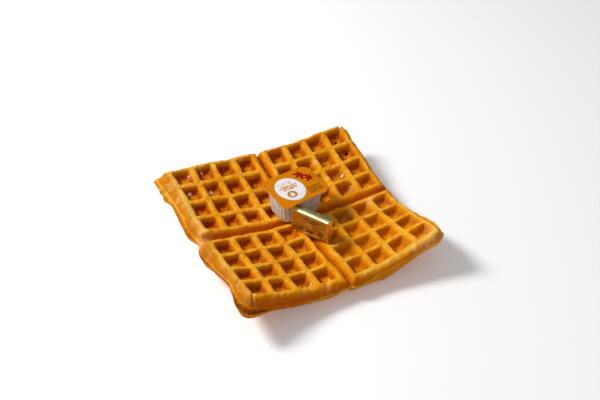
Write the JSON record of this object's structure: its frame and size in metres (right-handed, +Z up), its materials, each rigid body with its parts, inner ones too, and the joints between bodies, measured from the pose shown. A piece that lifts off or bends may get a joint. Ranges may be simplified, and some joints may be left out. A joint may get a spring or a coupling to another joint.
{
  "type": "waffle with syrup cup and butter pat",
  "caption": "Large square waffle with deep pockets and crossing seams, carrying a shut cup of syrup and a foil-wrapped pat of butter.",
  "frame": {"origin": "on the table below the middle of the waffle's outline", "axes": "+Z up; +X and +Y along the waffle's sides, with +Y from the butter pat's end towards the syrup cup's"},
  "size_m": [0.2126, 0.2103, 0.0518],
  "materials": {
    "waffle": "baked crust, golden on the ribs and brown in the pockets",
    "cup": "thin translucent fluted plastic",
    "syrup": "clear brown syrup",
    "lid": "printed peel-off lid, satin",
    "foil": "gold-coloured wrapping foil, lightly crumpled"
  },
  "bodies": {
    "root": {"waffle": "waffle", "syrup_cup": "cup", "syrup": "syrup", "cup_lid": "lid", "butter_pat": "foil"}
  },
  "joints": []
}
